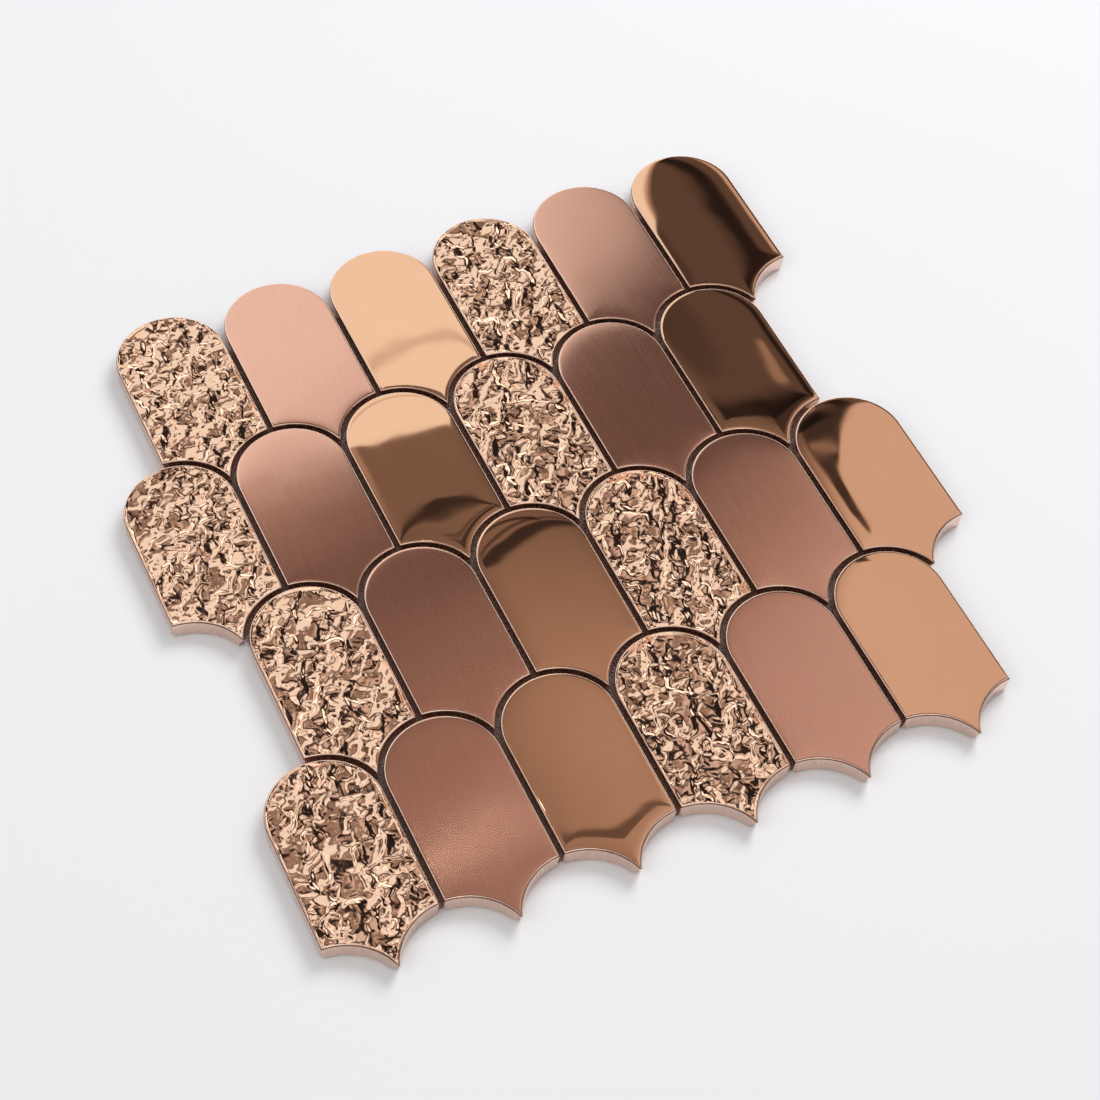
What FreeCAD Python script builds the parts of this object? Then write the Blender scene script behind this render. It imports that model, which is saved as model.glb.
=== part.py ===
import FreeCAD, Part
import math
import os

from FreeCAD import Vector

# A sheet of fish scale mosaic: long metal tiles with a round head and a two-scalloped foot, in staggered rows.
# Each head nests in the scallops of the two tiles above it, so the joints run on round the sheet at one width.
# A tile is a thin steel cap, folded down over a ceramic core, and all the cores stand on one glass fibre mesh.
# The frame's origin is the middle of the mesh's underside. +Y points to the round heads, and +Z to the faces.
# All sizes are in millimetres.

# The sheet
tile_width = 46.0
tip_trim = 1.0           # how much of the sharp point between its two scallops a tile's foot is cut short by
joint = 2.0              # clear width between neighbouring tiles
row_pitch = 77.0
rows = 4
columns = 6
finish_by_column = ["hammered", "brushed", "mirror"]   # repeats along a row

# One tile, seen in section
tile_thickness = 7.5     # from the mesh to the polished face
steel_thickness = 0.4
fold = 0.6               # the flat that breaks the edge where the face folds down into the skirt
skirt_clearance = 0.3    # the skirt stops this far above the mesh, and only the core stands on it

# The backing mesh
mesh_thickness = 0.5
mesh_inset = 1.5         # the mesh is cut back this far inside the tiles that stand at the sheet's edge

# Worked out from the sizes above
column_pitch = tile_width + joint
stagger = column_pitch / 2
head_radius = tile_width / 2
scallop_radius = head_radius + joint
face_height = mesh_thickness + tile_thickness
inside_height = face_height - steel_thickness


def scallop_y(x, inset):
    """How far up the tile its scalloped foot is at x. The scallops are centred on the heads of the row below."""
    across = column_pitch / 2 - abs(x)
    return math.sqrt((scallop_radius + inset) ** 2 - across ** 2) - row_pitch


corner_y = scallop_y(head_radius, 0)
tip_y = scallop_y(0, 0) + tip_trim
sheet_width = (columns - 1) * column_pitch + stagger + tile_width
sheet_length = head_radius + (rows - 1) * row_pitch - tip_y


def tile_outline(inset, z):
    """The face inside a tile's plan outline, moved in by inset, at height z."""
    half = head_radius - inset
    scallop_middle = half / 2

    def foot(x):
        return Vector(x, scallop_y(x, inset), z)

    edges = [
        Part.Arc(Vector(-half, 0, z), Vector(0, half, z), Vector(half, 0, z)),
        Part.LineSegment(Vector(half, 0, z), foot(half)),
        Part.Arc(foot(half), foot(scallop_middle), foot(0)),
        Part.Arc(foot(0), foot(-scallop_middle), foot(-half)),
        Part.LineSegment(foot(-half), Vector(-half, 0, z)),
    ]
    return Part.Face(Part.Wire([edge.toShape() for edge in edges]))


def tile_block(inset, bottom, top, edge=0):
    """A solid block with the tile's outline, its upper edge broken if asked, and then its point cut short."""
    block = tile_outline(inset, bottom).extrude(Vector(0, 0, top - bottom))
    if edge:
        rim = [line for line in block.Edges if all(abs(end.Z - top) < 1e-6 for end in line.Vertexes)]
        block = block.makeChamfer(edge, rim)
    foot = Vector(-head_radius, tip_y + inset - head_radius, bottom)
    return block.cut(Part.makeBox(tile_width, head_radius, top - bottom, foot))


def steel_cap():
    """The visible metal: a flat face with a skirt folded down all round it."""
    skirt_end = mesh_thickness + skirt_clearance
    outside = tile_block(0, skirt_end, face_height, fold)
    return outside.cut(tile_block(steel_thickness, skirt_end, inside_height))


def ceramic_core():
    """The body that fills the cap. It is bonded to the cap's inside and stands on the mesh."""
    return tile_block(steel_thickness, mesh_thickness, inside_height)


def tile_place(row, column):
    """The middle of a tile's round head. Every second row is moved along by half a pitch."""
    shift = stagger if row % 2 == 0 else 0
    x = head_radius + shift + column * column_pitch - sheet_width / 2
    y = sheet_length / 2 - head_radius - row * row_pitch
    return Vector(x, y, 0)


def mesh_strip(first, last, top, bottom):
    """A rectangle of mesh between two heights on the sheet, cut back inside the tiles that stand at its ends."""
    left = first.x - head_radius + mesh_inset
    right = last.x + head_radius - mesh_inset
    return Part.makeBox(right - left, top - bottom, mesh_thickness, Vector(left, bottom, 0))


def backing_mesh():
    """The mesh's envelope, a closed sheet in straight cuts. It reaches out beside each row to that row's end tiles."""
    foot = corner_y + mesh_inset
    strips = []
    for row in range(rows):
        first = tile_place(row, 0)
        strips.append(mesh_strip(first, tile_place(row, columns - 1), first.y, first.y + foot))
    top = tile_place(0, 0)
    bottom = tile_place(rows - 1, 0)
    common = mesh_strip(top, tile_place(1, columns - 1), top.y, bottom.y + foot)
    return common.fuse(strips).removeSplitter()


def save(solids, name):
    """Writes one file: the pieces that share a name, each a closed solid that touches none of the others."""
    shape = solids[0] if len(solids) == 1 else Part.makeCompound(solids)
    shape.exportStep(os.path.join("parts", name + ".step"))


def main():
    os.makedirs("parts", exist_ok=True)
    cap = steel_cap()
    core = ceramic_core()
    caps = {finish: [] for finish in finish_by_column}
    cores = []
    for row in range(rows):
        for column in range(columns):
            place = tile_place(row, column)
            finish = finish_by_column[column % len(finish_by_column)]
            caps[finish].append(cap.translated(place))
            cores.append(core.translated(place))
    for finish, solids in caps.items():
        save(solids, f"{finish}_caps")
    save(cores, "ceramic_cores")
    save([backing_mesh()], "backing_mesh")


main()
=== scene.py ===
import math

import bmesh
import bpy
import numpy as np
from mathutils import Matrix, Vector
from mathutils.geometry import delaunay_2d_cdt


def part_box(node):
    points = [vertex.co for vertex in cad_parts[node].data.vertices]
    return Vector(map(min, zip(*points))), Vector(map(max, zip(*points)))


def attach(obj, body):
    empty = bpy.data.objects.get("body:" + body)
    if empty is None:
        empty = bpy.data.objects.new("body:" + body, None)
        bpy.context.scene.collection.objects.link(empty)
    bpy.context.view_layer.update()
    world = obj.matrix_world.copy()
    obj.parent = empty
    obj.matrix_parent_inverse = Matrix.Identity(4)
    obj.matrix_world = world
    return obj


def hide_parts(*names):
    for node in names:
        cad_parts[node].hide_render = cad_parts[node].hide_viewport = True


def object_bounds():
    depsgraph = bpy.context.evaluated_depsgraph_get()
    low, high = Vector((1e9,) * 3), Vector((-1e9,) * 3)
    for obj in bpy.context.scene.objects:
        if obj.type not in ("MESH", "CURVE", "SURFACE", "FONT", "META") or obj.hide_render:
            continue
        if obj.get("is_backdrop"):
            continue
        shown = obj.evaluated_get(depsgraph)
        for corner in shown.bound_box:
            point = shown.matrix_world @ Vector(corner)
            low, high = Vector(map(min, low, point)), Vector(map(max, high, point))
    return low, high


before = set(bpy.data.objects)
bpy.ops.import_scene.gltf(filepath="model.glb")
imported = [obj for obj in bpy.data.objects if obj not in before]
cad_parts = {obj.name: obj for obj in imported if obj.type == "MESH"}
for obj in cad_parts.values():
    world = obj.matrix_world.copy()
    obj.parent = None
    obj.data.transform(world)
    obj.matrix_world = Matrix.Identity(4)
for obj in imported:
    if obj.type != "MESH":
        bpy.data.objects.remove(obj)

MM = 0.001
cad_box = [list(corner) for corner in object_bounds()]

# The sheet's layout, as in the solids
rows = 4
columns = 6
finishes = ["hammered", "brushed", "mirror"]        # repeats along a row
tile_width = 46 * MM
tip_trim = 1.0 * MM
joint = 2 * MM
row_pitch = 77 * MM
column_pitch = tile_width + joint
head_radius = tile_width / 2
scallop_radius = head_radius + joint

# Heights, from the solids
face_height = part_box("mirror_caps")[1].z
skirt_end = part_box("mirror_caps")[0].z
mesh_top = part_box("backing_mesh")[1].z
sheet_low, sheet_high = (Vector(corner) for corner in cad_box)

# How the steel is formed
steel_thickness = 0.4 * MM
fold_radius = 0.65 * MM
fold_steps = 5
shade_line_turn = 0.8            # the fold's lower part gets the painted shade line where its normal's upward part is less than this
tip_lean = 3.0 * MM          # the skirt's corners lean in this far at the mesh
corner_lean = 1.2 * MM
crown_drop = 0.06 * MM       # a flat face has fallen by this much where it meets the fold
crown_reach = 3.0 * MM
wave_height = 0.010 * MM     # the rolled sheet's own unevenness
wave_length = 26 * MM
face_rings = 16              # rings of points across a flat face
relief_depth = 1.75 * MM     # of the hammered faces
relief_margin = 0.45 * MM    # how soon behind the fold the relief is at its full depth
crumple_size = 4.5 * MM
crumple_turn = math.radians(65)
crumple_stretch = 1.6
crumple_plates = 0.3         # how level the plates between the folds are, from 0 to 1
lattice_step = 0.34 * MM     # between the points of a hammered face
innermost = 0.9999 * head_radius      # an outline moved in by this has shrunk to a line
core_gap = 0.02 * MM         # between a core and its cap

# Points along a tile's head, along one of its sides and along one of its scallops
flat_counts = (60, 24, 30)
hammered_counts = (110, 60, 55)
core_counts = (48, 8, 24)

# The backing mesh's yarns
mesh_inset = 1.5 * MM
yarn_pitch = 1.25 * MM
yarn_width = 0.75 * MM

# Where the photograph was taken from
camera_place = Vector((-0.2863, -0.5715, 0.8444))
camera_target = Vector((-0.0054, -0.0167, 0.008))
camera_roll = 2.34
camera_lens = 85.74


# The tiles' outline

def scallop_y(x, inset):
    """How far up a tile its scalloped foot is at x, moved in by inset."""
    across = column_pitch / 2 - np.abs(x)
    return np.sqrt((scallop_radius + inset) ** 2 - across ** 2) - row_pitch


def foot_half(inset, corner_cut, point_cut):
    """The right half of a tile's foot, with both its corners cut off. Gives the half width, where the side ends, the
    scallop's radius, and the angles at which the scallop starts and ends."""
    half = head_radius - inset
    radius = scallop_radius + inset
    corner_y = scallop_y(half, inset)
    line_y = scallop_y(0, 0) + point_cut
    sharp_y = scallop_y(0, inset)
    point_x = 0.0
    if line_y > sharp_y:
        point_x = column_pitch / 2 - math.sqrt(radius ** 2 - (line_y + row_pitch) ** 2)
    start_x = half - corner_cut
    first = math.atan2(scallop_y(start_x, inset) + row_pitch, start_x - column_pitch / 2)
    last = math.atan2(scallop_y(point_x, inset) + row_pitch, point_x - column_pitch / 2)
    return half, corner_y + corner_cut, radius, first, last


def tile_ring(inset, corner_cut, point_cut, counts):
    """The outline's points, moved in by inset, anticlockwise from the right shoulder. All rings match by point."""
    head, side, scallop = counts
    half, side_end, radius, first, last = foot_half(inset, corner_cut, point_cut)
    angles = np.linspace(0, math.pi, head, endpoint=False)
    top = np.column_stack([half * np.cos(angles), half * np.sin(angles)])
    ys = np.linspace(0, side_end, side)
    left = np.column_stack([np.full(side, -half), ys])
    turn = np.linspace(first, last, scallop)
    foot_x = column_pitch / 2 + radius * np.cos(turn)
    right_foot = np.column_stack([foot_x, radius * np.sin(turn) - row_pitch])
    left_foot = right_foot * [-1, 1]
    right = np.column_stack([np.full(side, half), ys])
    return np.vstack([top, left, left_foot, right_foot[::-1], right[:0:-1]])


def lean_at(z, drop_from):
    """How much of the skirt's lean there is at height z, from none at the fold to all of it at the mesh."""
    return np.clip((drop_from - z) / (drop_from - mesh_top), 0, 1)


# Noise in the plane, the same on every run

def value_noise(x, y, size, seed):
    """Smooth noise from -1 to 1, with one random value on each corner of a square grid."""
    table = np.random.default_rng(seed).uniform(-1, 1, (64, 64))
    gx, gy = x / size, y / size
    ix, iy = np.floor(gx).astype(int), np.floor(gy).astype(int)
    fx, fy = gx - ix, gy - iy
    fx, fy = (f * f * f * (f * (f * 6 - 15) + 10) for f in (fx, fy))
    corner = lambda i, j: table[(ix + i) % 64, (iy + j) % 64]
    low = corner(0, 0) * (1 - fx) + corner(1, 0) * fx
    high = corner(0, 1) * (1 - fx) + corner(1, 1) * fx
    return low * (1 - fy) + high * fy


def crumple(x, y, seed):
    """The hammered surface, from 0 in its pockets to 1: folds like those of crushed foil, longer one way."""
    bend = 0.3 * crumple_size
    wx = x + bend * value_noise(x, y, 0.75 * crumple_size, seed + 1)
    wy = y + bend * value_noise(x, y, 0.75 * crumple_size, seed + 2)
    along = (wx * math.cos(crumple_turn) + wy * math.sin(crumple_turn)) / crumple_stretch
    across = wy * math.cos(crumple_turn) - wx * math.sin(crumple_turn)
    relief = value_noise(along, across, crumple_size, seed + 3)
    relief += 0.5 * np.abs(value_noise(along, across, 0.8 * crumple_size, seed + 4))
    relief += 0.10 * value_noise(wx, wy, 0.43 * crumple_size, seed + 5)
    low, high = np.percentile(relief, [0.5, 99.5])
    level = np.clip((relief - low) / (high - low), 0, 1)
    return level - crumple_plates / (4 * math.pi) * np.sin(4 * math.pi * level)


def sheet_waves(x, y, seed):
    """How far a flat face lies under its own level, in metres. Never less than nothing."""
    wave = value_noise(x, y, wave_length, seed)
    wave += 0.35 * value_noise(x, y, wave_length / 2.7, seed + 1)
    return wave_height * (1.35 + wave)


# Mesh building

def mesh_from_rings(name, rings, closed=True):
    """A surface through rings of as many points each. Where a ring has shrunk to a line, weld closes it."""
    count = len(rings[0])
    points = np.vstack(rings)
    steps = len(rings) if closed else len(rings) - 1
    i, j = np.meshgrid(np.arange(steps), np.arange(count), indexing="ij")
    k, m = (i + 1) % len(rings), (j + 1) % count
    faces = np.stack([i * count + j, i * count + m, k * count + m, k * count + j], axis=-1).reshape(-1, 4)
    mesh = bpy.data.meshes.new(name)
    mesh.from_pydata(points.tolist(), [], faces.tolist())
    piece = bpy.data.objects.new(name, mesh)
    bpy.context.scene.collection.objects.link(piece)
    return piece


def weld(piece, distance=0.002 * MM):
    """Merges points that coincide, and drops the faces that have closed up."""
    shape = bmesh.new()
    shape.from_mesh(piece.data)
    bmesh.ops.remove_doubles(shape, verts=shape.verts, dist=distance)
    bmesh.ops.dissolve_degenerate(shape, edges=shape.edges, dist=distance / 4)
    bmesh.ops.recalc_face_normals(shape, faces=shape.faces)
    shape.to_mesh(piece.data)
    shape.free()


def smooth(piece, sharp_over):
    piece.data.shade_smooth()
    piece.data.set_sharp_from_angle(angle=math.radians(sharp_over))


def ring_at(outline, z, place):
    """A ring lifted to height z, which may be one number or one for each point, and moved to its place."""
    heights = np.broadcast_to(z, len(outline))
    return np.column_stack([outline[:, 0] + place.x, outline[:, 1] + place.y, heights])


def skirt_rings(inset, low, high, place, counts, steps=2):
    """The rings of an upright wall whose corners lean in towards the mesh, from low to high."""
    rings = []
    for z in np.linspace(low, high, steps):
        lean = lean_at(z, face_height - fold_radius)
        outline = tile_ring(inset, corner_lean * lean, tip_trim + tip_lean * lean, counts)
        rings.append(ring_at(outline, z, place))
    return rings


def cap_shell(counts, place, ceiling, fold_top):
    """The hollow side, the skirt and the fold of a cap, as rings that end where its face begins."""
    rings = [ring_at(tile_ring(innermost, 0, tip_trim, counts), ceiling, place)]
    rings += skirt_rings(steel_thickness, skirt_end, ceiling, place, counts)[::-1]
    rings += skirt_rings(0, skirt_end, fold_top - fold_radius, place, counts)
    for step in range(1, fold_steps + 1):
        angle = step / fold_steps * math.pi / 2
        inset = fold_radius * (1 - math.cos(angle))
        z = fold_top - fold_radius * (1 - math.sin(angle))
        rings.append(ring_at(tile_ring(inset, 0, tip_trim, counts), z, place))
    return rings


def build_flat_cap(name, place, seed):
    """A cap with a nearly level face. It falls a little towards the fold and has the waves of rolled sheet."""
    ceiling = face_height - steel_thickness - 2 * crown_drop
    rings = cap_shell(flat_counts, place, ceiling, face_height - crown_drop)
    inside = head_radius - fold_radius
    for share in np.linspace(0, 1, face_rings + 1)[1:] ** 1.3:
        depth = inside * share
        outline = tile_ring(min(fold_radius + depth, innermost), 0, tip_trim, flat_counts)
        waves = sheet_waves(outline[:, 0] + place.x, outline[:, 1] + place.y, seed)
        near_fold = math.exp(-depth / crown_reach)
        fall = crown_drop * near_fold + waves * (1 - near_fold)
        rings.append(ring_at(outline, face_height - fall, place))
    return mesh_from_rings(name, rings)


def depth_inside(x, y):
    """How far points of a tile's face lie in from its outline."""
    to_side = head_radius - np.abs(x)
    to_head = head_radius - np.hypot(x, y)
    to_scallop = np.hypot(column_pitch / 2 - np.abs(x), y + row_pitch) - scallop_radius
    return np.minimum(np.where(y > 0, to_head, to_side), to_scallop)


def face_lattice(edge):
    """Evenly spread points inside a face's edge, and the triangles that join all of them."""
    row_step = lattice_step * math.sqrt(3) / 2
    lines = np.arange(edge[:, 1].min(), edge[:, 1].max(), row_step)
    across = np.arange(-head_radius, head_radius, lattice_step)
    x = np.concatenate([across + lattice_step / 2 * (k % 2) for k in range(len(lines))])
    y = np.repeat(lines, len(across))
    inner = depth_inside(x, y) > fold_radius + 0.6 * lattice_step
    points = [Vector(point) for point in edge]
    points += [Vector(point) for point in zip(x[inner], y[inner])]
    loop = [(k, (k + 1) % len(edge)) for k in range(len(edge))]
    found, _, triangles, *_ = delaunay_2d_cdt(points, loop, [], 1, 1e-9)
    return np.array([tuple(point) for point in found]), triangles


def build_hammered_cap(name, place, seed):
    """A cap whose face is a fine lattice of points, pressed into the crumpled relief."""
    ceiling = face_height - steel_thickness - relief_depth
    shell = mesh_from_rings(name, cap_shell(hammered_counts, place, ceiling, face_height), closed=False)
    flat, triangles = face_lattice(without_repeats(tile_ring(fold_radius, 0, tip_trim, hammered_counts)))
    x, y = flat[:, 0] + place.x, flat[:, 1] + place.y
    depth = depth_inside(flat[:, 0], flat[:, 1]) - fold_radius
    pressed = np.where(depth < lattice_step / 4, 0, np.clip(depth / relief_margin, 0, 1))
    z = face_height - pressed * relief_depth * (1 - crumple(x, y, seed))
    face = bpy.data.meshes.new("face")
    face.from_pydata(np.column_stack([x, y, z]).tolist(), [], triangles)
    shape = bmesh.new()
    shape.from_mesh(shell.data)
    shape.from_mesh(face)
    shape.to_mesh(shell.data)
    shape.free()
    bpy.data.meshes.remove(face)
    return shell


def without_repeats(outline):
    """The outline less the points that lie on the one before them."""
    step = np.linalg.norm(outline - np.roll(outline, 1, axis=0), axis=1)
    return outline[step > 0.01 * MM]


def build_cap(finish, row, column, place):
    name = f"{finish}_cap_row{row + 1}_tile{column + 1}"
    seed = 100 + 10 * (row * columns + column)
    hammered = finish == "hammered"
    build = build_hammered_cap if hammered else build_flat_cap
    piece = build(name, place, seed)
    weld(piece)
    smooth(piece, 75 if hammered else 30)
    return piece


def paint_sides(cap, place):
    """Gives a cap's walls its second material, its fold the third with its painted highlight, and the fold's lower
    part the fourth, a painted shade line.
    """
    fold_low = face_height - fold_radius - crown_drop + 0.05 * MM
    for polygon in cap.data.polygons:
        middle = polygon.center
        if middle.z < fold_low:
            polygon.material_index = 1 if abs(polygon.normal.z) < 0.3 else 0
        elif depth_inside(middle.x - place.x, middle.y - place.y) < fold_radius * 0.9:
            # Painted highlight on the fold's upper part, painted shade line on its lower part
            polygon.material_index = 2 if polygon.normal.z > shade_line_turn else 3


def build_core(row, column, place):
    """The ceramic body that fills a cap and stands on the mesh."""
    hammered = finishes[column % len(finishes)] == "hammered"
    high = face_height - steel_thickness - (relief_depth if hammered else 2 * crown_drop) - core_gap
    middle = tile_ring(innermost, 0, tip_trim, core_counts)
    rings = [ring_at(middle, mesh_top, place)]
    rings += skirt_rings(steel_thickness + core_gap, mesh_top, high, place, core_counts)
    rings.append(ring_at(middle, high, place))
    piece = mesh_from_rings(f"ceramic_core_row{row + 1}_tile{column + 1}", rings)
    weld(piece)
    smooth(piece, 30)
    return piece


def tile_place(row, column):
    """The middle of a tile's round head."""
    shift = column_pitch / 2 if row % 2 == 0 else 0
    x = sheet_low.x + head_radius + shift + column * column_pitch
    return Vector((x, sheet_high.y - head_radius - row * row_pitch, 0))


# The backing mesh

def mesh_strips():
    """The rectangles that make up the mesh's outline: one for each row of tiles, and one that joins them."""
    foot = scallop_y(head_radius, 0) + mesh_inset
    strips = []
    for row in range(rows):
        first, last = tile_place(row, 0), tile_place(row, columns - 1)
        left = first.x - head_radius + mesh_inset
        right = last.x + head_radius - mesh_inset
        strips.append((left, right, first.y + foot, first.y))
    low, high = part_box("backing_mesh")
    left = max(strip[0] for strip in strips)
    right = min(strip[1] for strip in strips)
    return strips + [(left, right, low.y, high.y)]


def yarn_runs(strips, at, along_y):
    """The starts and ends of a yarn that lies along x or y, wherever the mesh reaches. A run that lies within
    another is left out."""
    runs = []
    for left, right, low, high in strips:
        start, end, first, last = (low, high, left, right) if along_y else (left, right, low, high)
        if first < at - yarn_width / 2 and at + yarn_width / 2 < last:
            runs.append((start, end))

    def lies_within(run, other):
        return other != run and other[0] <= run[0] and run[1] <= other[1]

    return [run for run in runs if not any(lies_within(run, other) for other in runs)]


def build_yarns():
    """Two layers of straight yarns, one laid on the other."""
    low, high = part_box("backing_mesh")
    strips = mesh_strips()
    section = ((-0.5, 0), (-0.3, -0.5), (0.3, -0.5), (0.5, 0), (0.3, 0.5), (-0.3, 0.5))
    count = len(section)
    thick = 0.51 * mesh_top
    points, faces = [], []
    for along_y in (False, True):
        first_at, last_at = (low.x, high.x) if along_y else (low.y, high.y)
        middle = mesh_top * (0.74 if along_y else 0.26)
        for at in np.arange(first_at + yarn_pitch / 2, last_at, yarn_pitch):
            for run in yarn_runs(strips, at, along_y):
                base = len(points)
                for end in run:
                    for side, lift in section:
                        across, z = at + side * yarn_width, middle + lift * thick
                        points.append((across, end, z) if along_y else (end, across, z))
                for k in range(count):
                    n = (k + 1) % count
                    faces.append((base + k, base + n, base + count + n, base + count + k))
                faces.append(tuple(range(base, base + count)))
                faces.append(tuple(range(base + count, base + 2 * count)))
    mesh = bpy.data.meshes.new("backing_mesh_yarns")
    mesh.from_pydata(points, [], faces)
    piece = bpy.data.objects.new("backing_mesh_yarns", mesh)
    bpy.context.scene.collection.objects.link(piece)
    weld(piece)
    smooth(piece, 60)
    return piece


# Materials

class Graph:
    """Short names for adding shader nodes to one tree."""

    def __init__(self, tree):
        self.tree = tree
        tree.nodes.clear()

    def add(self, kind, inputs=None, **settings):
        """A node with these settings, whose inputs are numbers, colours or the outputs of other nodes."""
        node = self.tree.nodes.new(kind)
        for name, value in settings.items():
            setattr(node, name, value)
        for name, value in (inputs or {}).items():
            if isinstance(value, bpy.types.NodeSocket):
                self.tree.links.new(value, node.inputs[name])
            else:
                node.inputs[name].default_value = value
        return node

    def math(self, operation, *values):
        return self.add("ShaderNodeMath", dict(enumerate(values)), operation=operation).outputs[0]

    def noise(self, scale, detail, stretch=None):
        """Noise in the object's own coordinates, which stretch scales one by one."""
        place = self.add("ShaderNodeTexCoord").outputs["Object"]
        if stretch:
            place = self.add("ShaderNodeMapping", {"Vector": place, "Scale": stretch}).outputs[0]
        return self.add("ShaderNodeTexNoise", {"Vector": place, "Scale": scale, "Detail": detail}).outputs[0]

    def bump(self, height, strength, distance):
        bump = self.add("ShaderNodeBump", {"Height": height, "Strength": strength, "Distance": distance})
        return bump.outputs[0]

    def product(self, first, *others):
        for other in others:
            first = self.math("MULTIPLY", first, other)
        return first

    def darken(self, light, mask, share):
        """The light less this share of it where the mask is 1."""
        return self.math("MULTIPLY", light, self.math("MULTIPLY_ADD", mask, -share, 1.0))

    def ramp(self, value, stops):
        node = self.add("ShaderNodeValToRGB", {"Fac": value})
        points = node.color_ramp.elements
        while len(points) < len(stops):
            points.new(0.5)
        for point, (position, color) in zip(points, stops):
            point.position = position
            point.color = (*color, 1)
        return node.outputs["Color"]

    def blend(self, value, low, high, to_low=0.0, to_high=1.0):
        """Maps low..high smoothly to to_low..to_high."""
        ranges = {"Value": value, "From Min": low, "From Max": high, "To Min": to_low, "To Max": to_high}
        return self.add("ShaderNodeMapRange", ranges, interpolation_type="SMOOTHSTEP").outputs["Result"]

    def band(self, value, low, high, soft_low, soft_high):
        """1 between low and high, and 0 further out than the softness of each side."""
        over_low = self.blend(value, low - soft_low, low)
        return self.product(over_low, self.blend(value, high + soft_high, high))

    def patch(self, x, y, left, right, low, high, soft):
        """1 inside a rectangle of the plan with coordinates x and y, 0 outside it, and soft in between."""
        return self.product(self.blend(x, left - soft, left + soft), self.blend(x, right + soft, right - soft),
                            self.blend(y, low - soft, low + soft), self.blend(y, high + soft, high - soft))


def new_material(name):
    material = bpy.data.materials.new(name)
    material.use_nodes = True
    return material, Graph(material.node_tree)


def finish_material(graph, inputs):
    shader = graph.add("ShaderNodeBsdfPrincipled", inputs)
    graph.add("ShaderNodeOutputMaterial", {"Surface": shader.outputs[0]})


def mirror_material():
    """Polished, with a trace of haze."""
    material, graph = new_material("mirror_rose_gold")
    haze = graph.noise(60.0, 3.0)
    color = graph.ramp(haze, [(0.3, (0.855, 0.52, 0.325)), (0.7, (0.885, 0.54, 0.34))])
    roughness = graph.blend(haze, 0.3, 0.75, 0.012, 0.03)
    finish_material(graph, {"Base Color": color, "Metallic": 1.0, "Roughness": roughness})
    return material


def brushed_material():
    """Brushed along the tile, so that lights spread across it."""
    material, graph = new_material("brushed_rose_gold")
    lines = graph.noise(1.0, 3.0, (5200.0, 60.0, 60.0))
    color = graph.ramp(lines, [(0.3, (0.80, 0.455, 0.335)), (0.7, (0.88, 0.509, 0.380))])
    roughness = graph.blend(lines, 0.3, 0.7, 0.12, 0.14)
    tangent = graph.add("ShaderNodeCombineXYZ", {"X": 1.0, "Y": 0.0, "Z": 0.0})
    finish_material(graph, {"Base Color": color, "Metallic": 1.0, "Roughness": roughness, "Anisotropic": 0.95,
                            "Normal": graph.bump(lines, 0.03, 0.00002), "Tangent": tangent.outputs[0]})
    return material


def hammered_material():
    """Polished over its relief, with the fine dents of the hammering."""
    material, graph = new_material("hammered_rose_gold")
    haze = graph.noise(350.0, 4.0)
    color = graph.ramp(haze, [(0.3, (0.90, 0.60, 0.42)), (0.7, (0.95, 0.65, 0.47))])
    roughness = graph.blend(haze, 0.3, 0.75, 0.08, 0.14)
    finish_material(graph, {"Base Color": color, "Metallic": 1.0, "Roughness": roughness,
                            "Normal": graph.bump(haze, 0.2, 0.0001)})
    return material


def skirt_material():
    """The folded sides, with the fine upright lines that the press leaves."""
    material, graph = new_material("pressed_skirt")
    lines = graph.noise(1.0, 2.0, (2200.0, 2200.0, 60.0))
    color = graph.ramp(lines, [(0.3, (0.78, 0.585, 0.49)), (0.7, (0.84, 0.635, 0.54))])
    roughness = graph.blend(lines, 0.3, 0.7, 0.16, 0.3)
    finish_material(graph, {"Base Color": color, "Metallic": 1.0, "Roughness": roughness})
    return material


def fold_highlight_material():
    """The polished bend between a face and its skirt, with a paler colour than the faces as a painted highlight."""
    material, graph = new_material("polished_fold_painted_highlight")
    # Painted highlight: the bend's steel is given a paler colour than the faces
    color = graph.ramp(graph.noise(400.0, 2.0), [(0.3, (0.96, 0.70, 0.56)), (0.7, (0.99, 0.76, 0.63))])
    finish_material(graph, {"Base Color": color, "Metallic": 1.0, "Roughness": 0.17})
    return material


def shade_line_material():
    """The fold's lower part, painted dark as a thin line of shade where the bend turns down."""
    material, graph = new_material("painted_shade_line")
    # Painted shade: a dark copy of the steel, as a thin line along the bend's lower part
    color = graph.ramp(graph.noise(400.0, 2.0), [(0.3, (0.13, 0.065, 0.045)), (0.7, (0.22, 0.115, 0.08))])
    finish_material(graph, {"Base Color": color, "Metallic": 1.0, "Roughness": 0.4})
    return material


def ceramic_material():
    """Fired clay, pale grey-brown and unglazed."""
    material, graph = new_material("pressed_ceramic")
    grain = graph.noise(700.0, 6.0)
    color = graph.ramp(grain, [(0.35, (0.55, 0.50, 0.46)), (0.65, (0.68, 0.64, 0.59))])
    finish_material(graph, {"Base Color": color, "Roughness": 0.85, "Normal": graph.bump(grain, 0.4, 0.0001)})
    return material


def glass_fibre_shaded_material():
    """Coated yarns, dark brown: partly their own colour, partly painted shade and painted copper reflection from the
    metal round them.
    """
    material, graph = new_material("coated_glass_fibre_painted_shade")
    fibres = graph.noise(1500.0, 3.0)
    # Painted shade and painted copper reflection of the joints, over the yarns' own colour
    color = graph.ramp(fibres, [(0.3, (0.15, 0.08, 0.065)), (0.7, (0.60, 0.45, 0.39))])
    finish_material(graph, {"Base Color": color, "Roughness": 0.6, "Normal": graph.bump(fibres, 0.5, 0.0001)})
    return material


# The studio

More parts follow.
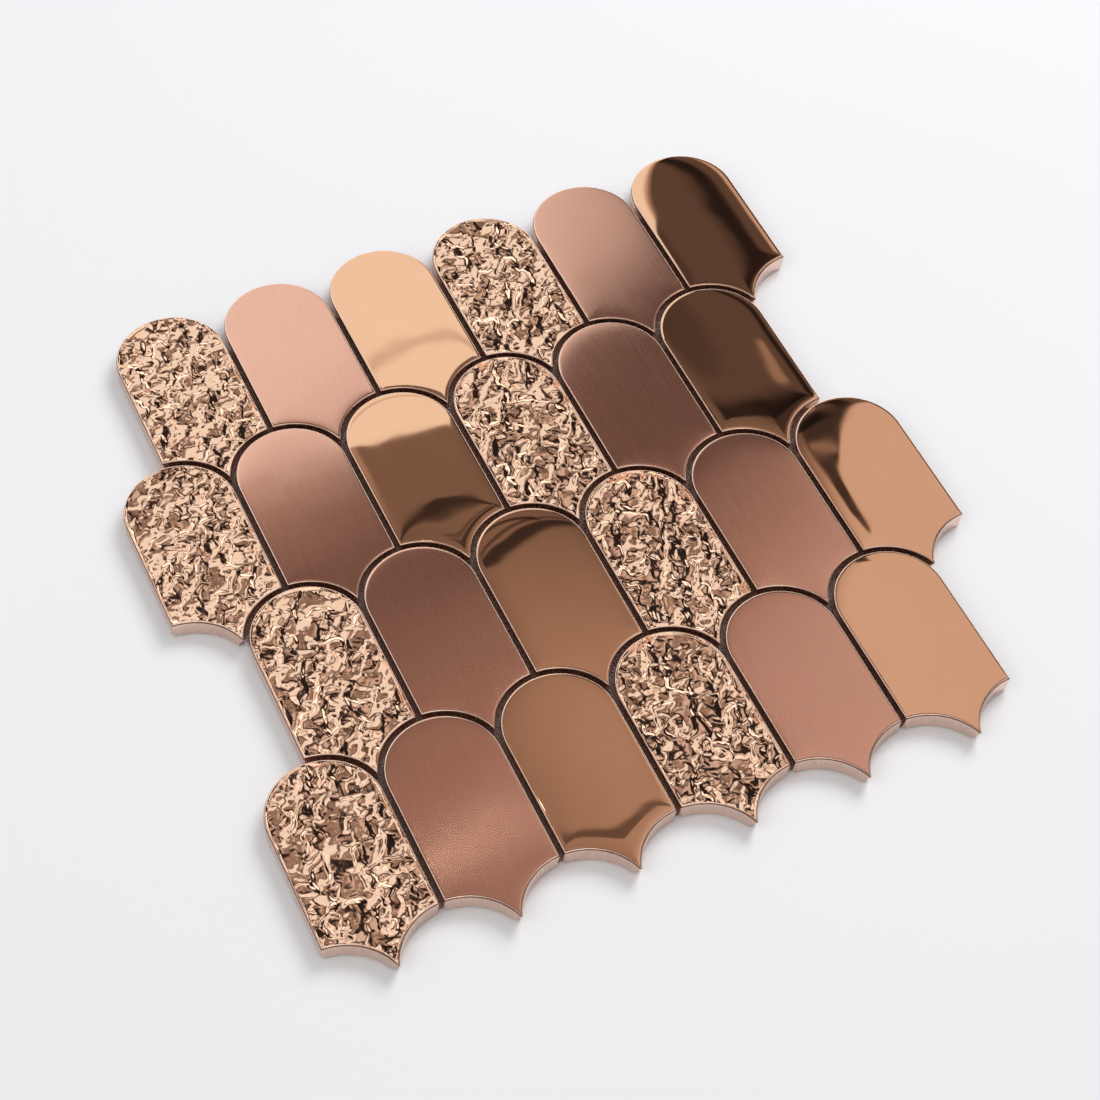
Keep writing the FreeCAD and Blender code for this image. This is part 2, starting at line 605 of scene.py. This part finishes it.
def build_floor():
    """A plain pale floor that runs out of view."""
    mesh = bpy.data.meshes.new("floor")
    reach = 4.0
    corners = [(-reach, -reach, 0), (reach, -reach, 0), (reach, reach, 0), (-reach, reach, 0)]
    mesh.from_pydata(corners, [], [(0, 1, 2, 3)])
    floor = bpy.data.objects.new("floor", mesh)
    bpy.context.scene.collection.objects.link(floor)
    material, graph = new_material("pale_floor")
    color = graph.ramp(graph.noise(3.0, 1.0), [(0.3, (0.832, 0.832, 0.845)), (0.7, (0.846, 0.846, 0.859))])
    finish_material(graph, {"Base Color": color, "Roughness": 0.9, "Specular IOR Level": 0.1})
    mesh.materials.append(material)
    floor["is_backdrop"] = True


def dark_middle(graph, x, y):
    """The middle: paler low down and right, brown under the bright panel's left end, and dark up and right."""
    across = graph.math("SUBTRACT", x, y)
    light = graph.blend(y, 0.03, -0.11, 0.17, 0.41)
    light = graph.math("MULTIPLY_ADD", graph.blend(x, 0.03, -0.02), 0.05, light)
    low_left = graph.product(graph.blend(x, -0.02, -0.07), graph.blend(y, 0.015, 0.005))
    light = graph.darken(light, low_left, 0.25)
    under_panel = graph.product(graph.blend(x, -0.064, -0.076), graph.blend(y, 0.0, 0.06))
    light = graph.math("MULTIPLY_ADD", under_panel, 0.22, light)
    light = graph.math("MAXIMUM", light, graph.blend(across, 0.06, 0.18, 0.0, 0.71))
    up_right = graph.product(graph.blend(graph.math("ADD", x, y), 0.08, 0.15), graph.blend(across, 0.12, 0.04))
    return graph.darken(light, up_right, 0.5)


def dark_bars(graph, x, y, light):
    """Bars across the middle, arched, sloping or wavy. Each is seen in one of the mirror tiles."""
    from_top = graph.math("ADD", x, 0.036)
    arched = graph.math("MULTIPLY_ADD", graph.product(from_top, from_top), 11.0, y)
    sloping = graph.math("MULTIPLY_ADD", graph.math("ADD", x, 0.012), -0.2, y)
    wavy = graph.math("MULTIPLY_ADD", graph.math("SINE", graph.math("MULTIPLY", x, 120.0)), 0.0025, y)
    # For each bar: its form, its two ends, its lower and upper edge, how soft these two are, and how dark it is
    for form, ends, edges, soft, share in (
            (arched, (-0.072, -0.002), (0.0195, 0.0225), (0.006, 0.001), 0.78),
            (sloping, (-0.046, 0.030), (-0.0055, 0.0), (0.004, 0.001), 0.8),
            (sloping, (-0.046, 0.030), (0.0035, 0.006), (0.001, 0.001), 0.6),
            (wavy, (-0.075, 0.005), (-0.148, -0.142), (0.001, 0.004), 0.65)):
        bar = graph.product(graph.band(form, *edges, *soft), graph.band(x, *ends, 0.004, 0.004))
        light = graph.darken(light, bar, share)
    return light


def pale_panel(graph, x, y, light):
    """The right side: a paler panel with a round corner low down, and pale streaks and a dark post above it."""
    corner_x = graph.math("MINIMUM", graph.math("SUBTRACT", x, 0.216), 0.0)
    corner_y = graph.math("MAXIMUM", graph.math("ADD", y, 0.069), 0.0)
    from_corner = graph.math("MULTIPLY_ADD", corner_x, corner_x, graph.product(corner_y, corner_y))
    pale = graph.blend(graph.math("SQRT", from_corner), 0.106, 0.1035, 0.0, 0.70)

    above = graph.blend(y, 0.0, 0.02, 0.06, 0.12)
    for streak, share in ((graph.patch(x, y, 0.172, 0.190, 0.02, 0.30, 0.004), 0.5),
                          (graph.patch(x, y, 0.1195, 0.1265, 0.022, 0.048, 0.002), 0.22),
                          (graph.patch(x, y, 0.108, 0.126, -0.018, -0.009, 0.003), 0.22)):
        above = graph.math("MULTIPLY_ADD", streak, share, above)
    above = graph.darken(above, graph.patch(x, y, 0.137, 0.150, -0.01, 0.30, 0.004), 0.8)
    pale = graph.math("MAXIMUM", pale, above)

    # This side's edge is hidden in a joint where the panel is, and is soft above it
    side = graph.math("MULTIPLY_ADD", graph.blend(y, -0.070, -0.050), -0.011, 0.1145)
    beyond = graph.product(graph.math("SUBTRACT", x, side), graph.blend(y, -0.050, -0.030, 1.0, 0.15))
    light = graph.product(light, graph.blend(beyond, 0.001, -0.001))
    light = graph.math("MULTIPLY_ADD", pale, graph.blend(beyond, -0.001, 0.001), light)

    # A dark curl across the edge, above the panel
    curled = graph.math("MULTIPLY_ADD", graph.math("SUBTRACT", x, 0.108), 0.2, y)
    curl = graph.product(graph.band(curled, 0.006, 0.013, 0.003, 0.014),
                         graph.band(x, 0.084, 0.124, 0.010, 0.012))
    return graph.darken(light, curl, 0.8)


def far_panels(graph, x, y, direction, rise, light):
    """Further out than the flat faces show: cloudy bright panels low and left, and pale walls all round."""
    from_middle = graph.math("MAXIMUM", graph.math("ABSOLUTE", x), graph.math("ABSOLUTE", y))
    out = graph.blend(from_middle, 0.23, 0.29)
    panels = graph.math("MAXIMUM", graph.patch(x, y, -0.75, 0.45, -2.60, -0.45, 0.03),
                        graph.patch(x, y, -1.15, -0.40, -0.45, 0.60, 0.03))
    cloud = graph.add("ShaderNodeTexNoise", {"Vector": direction, "Scale": 5.0, "Detail": 2.0})
    panels = graph.product(panels, graph.blend(cloud.outputs[0], 0.36, 0.64, 0.55, 1.3))
    far = graph.math("MAXIMUM", panels, graph.blend(rise, 0.49, 0.20, 0.02, 1.8))
    return graph.math("MULTIPLY_ADD", far, out, graph.darken(light, out, 1.0))


def bright_panel(graph, x, y, light):
    """The bright panel up and left, with a smoky arch across it."""
    edge = graph.math("MULTIPLY_ADD", graph.math("MAXIMUM", x, 0.0), -0.6, y)
    upper_y = graph.math("MAXIMUM", graph.math("SUBTRACT", y, 0.13), 0.0)
    right_end = graph.math("MULTIPLY_ADD", upper_y, -0.4, x)
    panel = graph.product(graph.blend(edge, 0.0605, 0.0635), graph.blend(right_end, 0.115, 0.100),
                          graph.blend(y, 0.85, 0.7), graph.blend(x, -0.85, -0.7))
    from_top = graph.math("ADD", x, 0.006)
    arch = graph.math("MULTIPLY_ADD", graph.product(from_top, from_top), 4.0, y)
    smoke = graph.blend(graph.math("ABSOLUTE", graph.math("SUBTRACT", arch, 0.105)), 0.006, 0.001)
    return graph.math("MAXIMUM", light, graph.darken(panel, smoke, 0.25))


def build_world():
    """What the metal reflects, laid out as a ceiling plan in metres. From where the photograph was taken, a level
    mirror at x, y in the sheet shows the plan's place x, y. So the flat faces show the part of it within 0.2 m of
    the middle, and the hammered faces catch what lies further out as well."""
    world = bpy.data.worlds.new("studio")
    bpy.context.scene.world = world
    world.use_nodes = True
    graph = Graph(world.node_tree)
    direction = graph.add("ShaderNodeTexCoord").outputs["Generated"]
    dx, dy, rise = graph.add("ShaderNodeSeparateXYZ", {"Vector": direction}).outputs
    upward = graph.math("MAXIMUM", rise, 0.03)
    height = camera_place.z - face_height
    x = graph.math("MULTIPLY_ADD", graph.math("DIVIDE", dx, upward), height, camera_place.x)
    y = graph.math("MULTIPLY_ADD", graph.math("DIVIDE", dy, upward), height, camera_place.y)

    light = dark_middle(graph, x, y)
    light = dark_bars(graph, x, y, light)
    light = pale_panel(graph, x, y, light)
    light = far_panels(graph, x, y, direction, rise, light)
    light = bright_panel(graph, x, y, light)
    small_lamp = graph.patch(x, y, -0.122, -0.106, -0.131, -0.127, 0.001)
    light = graph.math("MULTIPLY_ADD", small_lamp, 13.0, light)
    color = graph.ramp(light, [(0.0, (0, 0, 0)), (0.04, (0.039, 0.029, 0.029)), (0.40, (0.40, 0.30, 0.258)),
                               (0.67, (0.67, 0.557, 0.52)), (1.0, (1, 1, 1))])

    # The metal sees the plan, the camera an even background, and the rest of the scene a soft even light
    pale_grey = (0.87, 0.87, 0.885, 1)
    plan = graph.add("ShaderNodeBackground", {"Color": color, "Strength": graph.math("MAXIMUM", light, 1.0)})
    soft = graph.add("ShaderNodeBackground", {"Color": pale_grey, "Strength": 0.66})
    even = graph.add("ShaderNodeBackground", {"Color": pale_grey, "Strength": 1.0})
    ray = graph.add("ShaderNodeLightPath").outputs
    mixed = graph.add("ShaderNodeMixShader", {0: ray["Is Glossy Ray"], 1: soft.outputs[0], 2: plan.outputs[0]})
    mixed = graph.add("ShaderNodeMixShader", {0: ray["Is Camera Ray"], 1: mixed.outputs[0], 2: even.outputs[0]})
    graph.add("ShaderNodeOutputWorld", {"Surface": mixed.outputs[0]})


def add_lamp(name, place, side, power):
    """A soft square lamp that lights the floor and casts the shadows. The metal shows the studio instead."""
    data = bpy.data.lights.new(name, "AREA")
    data.shape = "RECTANGLE"
    data.size, data.size_y = side, side
    data.energy = power
    lamp = bpy.data.objects.new(name, data)
    bpy.context.scene.collection.objects.link(lamp)
    lamp.location = place
    lamp.rotation_euler = (-Vector(place)).to_track_quat("-Z", "Y").to_euler()
    lamp.visible_glossy = False


def build_lights():
    add_lamp("key", (1.6, 1.0, 1.8), 1.4, 40)
    add_lamp("fill", (-1.8, -0.4, 1.6), 1.6, 11)


def build_camera():
    data = bpy.data.cameras.new("photo_camera")
    data.lens = camera_lens
    data.sensor_width = 36
    data.clip_start = 0.01
    camera = bpy.data.objects.new("photo_camera", data)
    bpy.context.scene.collection.objects.link(camera)
    camera.location = camera_place
    look = (camera_target - camera_place).to_track_quat("-Z", "Y").to_matrix().to_4x4()
    camera.rotation_euler = (look @ Matrix.Rotation(math.radians(camera_roll), 4, "Z")).to_euler()
    bpy.context.scene.camera = camera


def main():
    faces = {"mirror": mirror_material(), "brushed": brushed_material(), "hammered": hammered_material()}
    # The fold carries a painted highlight, and its lower part a painted shade line
    sides = [skirt_material(), fold_highlight_material(), shade_line_material()]
    ceramic = ceramic_material()
    for row in range(rows):
        for column in range(columns):
            finish = finishes[column % len(finishes)]
            place = tile_place(row, column)
            cap = build_cap(finish, row, column, place)
            for material in [faces[finish]] + sides:
                cap.data.materials.append(material)
            paint_sides(cap, place)
            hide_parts(f"{finish}_caps")
            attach(cap, "root")
            core = build_core(row, column, place)
            core.data.materials.append(ceramic)
            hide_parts("ceramic_cores")
            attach(core, "root")
    yarns = build_yarns()
    yarns.data.materials.append(glass_fibre_shaded_material())
    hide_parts("backing_mesh")
    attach(yarns, "root")
    build_floor()
    build_world()
    build_lights()
    build_camera()
    bpy.context.scene.view_settings.view_transform = "Standard"
    {"cad": cad_box, "visual": [list(corner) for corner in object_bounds()]}


main()
